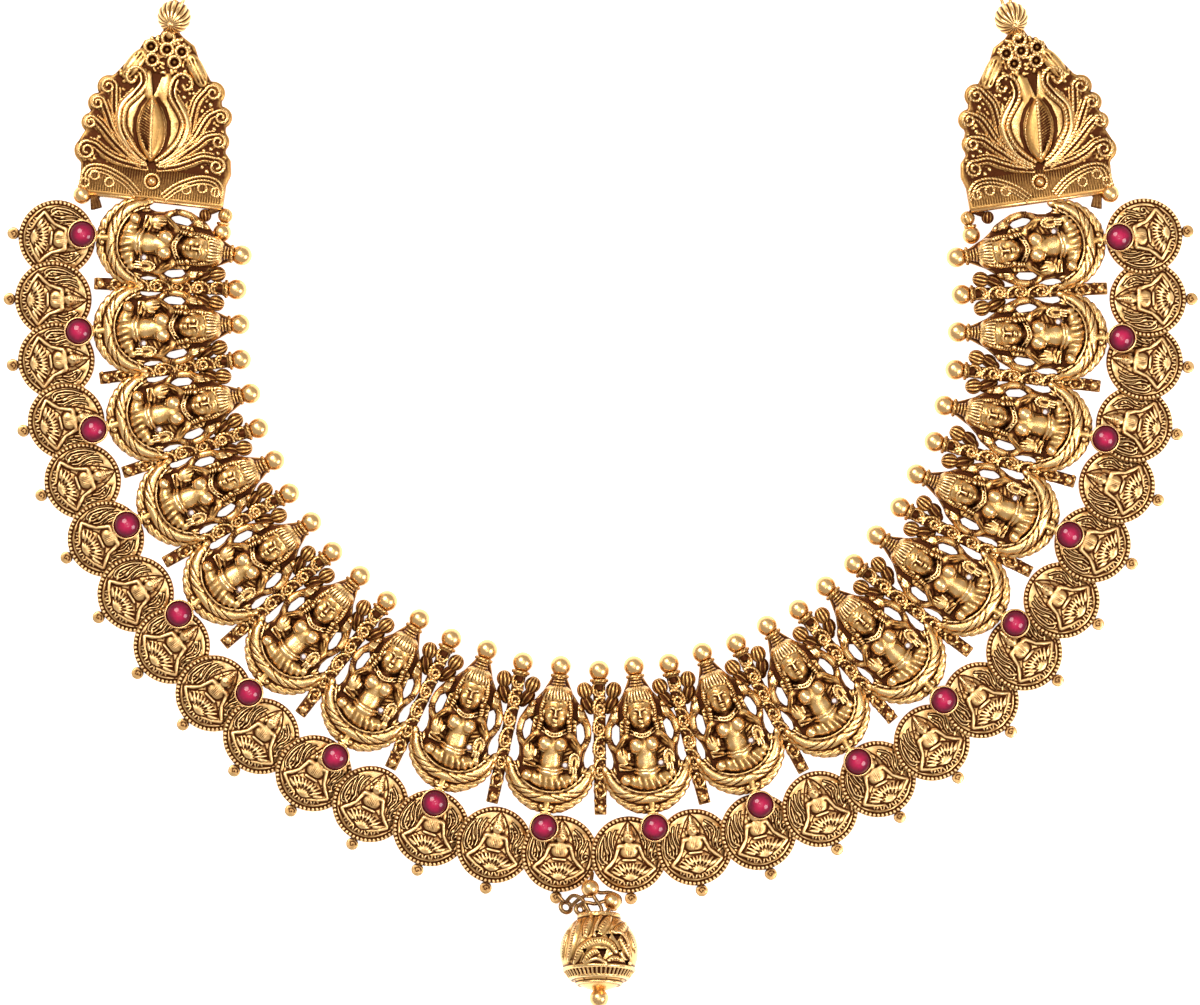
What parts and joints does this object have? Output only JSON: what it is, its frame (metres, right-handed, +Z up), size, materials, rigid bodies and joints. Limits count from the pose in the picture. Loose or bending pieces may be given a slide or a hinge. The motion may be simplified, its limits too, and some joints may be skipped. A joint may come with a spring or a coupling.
{
  "type": "gold collar necklace",
  "caption": "Gold collar necklace with seated figure panels, scroll bars, overlapping coins and ruby cabochons between two leaf-shaped end plates, a ball drop and a plain chain.",
  "frame": {"origin": "centre of the whole outline, on the surface that the necklace lies on", "axes": "+Z up from the surface towards the viewer, +Y from the drop to the clasp, +X to the viewer's right"},
  "size_m": [0.191, 0.2122, 0.0127],
  "materials": {
    "antique_gold": "satin, darkened in the recesses",
    "coin_gold": "struck satin, dark lines in the recesses",
    "polished_gold": "polished",
    "ruby": "polished cabochon, nearly opaque"
  },
  "bodies": {
    "root": {"figure_01": "antique_gold", "figure_02": "antique_gold", "figure_03": "antique_gold", "figure_04": "antique_gold", "figure_05": "antique_gold", "figure_06": "antique_gold", "figure_07": "antique_gold", "figure_08": "antique_gold", "figure_09": "antique_gold", "figure_10": "antique_gold", "figure_11": "antique_gold", "figure_12": "antique_gold", "figure_13": "antique_gold", "figure_14": "antique_gold", "figure_15": "antique_gold", "figure_16": "antique_gold", "figure_17": "antique_gold", "figure_18": "antique_gold", "scroll_bar_01": "antique_gold", "scroll_bar_02": "antique_gold", "scroll_bar_03": "antique_gold", "scroll_bar_04": "antique_gold", "scroll_bar_05": "antique_gold", "scroll_bar_06": "antique_gold", "scroll_bar_07": "antique_gold", "scroll_bar_08": "antique_gold", "scroll_bar_09": "antique_gold", "scroll_bar_10": "antique_gold", "scroll_bar_11": "antique_gold", "scroll_bar_12": "antique_gold", "scroll_bar_13": "antique_gold", "scroll_bar_14": "antique_gold", "scroll_bar_15": "antique_gold", "scroll_bar_16": "antique_gold", "scroll_bar_17": "antique_gold", "coin_row_1": "coin_gold", "coin_row_2": "coin_gold", "coin_row_3": "coin_gold", "coin_row_4": "coin_gold", "coin_row_5": "coin_gold", "coin_row_6": "coin_gold", "ruby_stones_left": "ruby", "ruby_stones_right": "ruby", "end_plate_left": "antique_gold", "end_plate_right": "antique_gold", "drop_ball": "antique_gold", "drop_links": "polished_gold", "chain_left": "polished_gold", "chain_right": "polished_gold", "clasp": "polished_gold"}
  },
  "joints": []
}
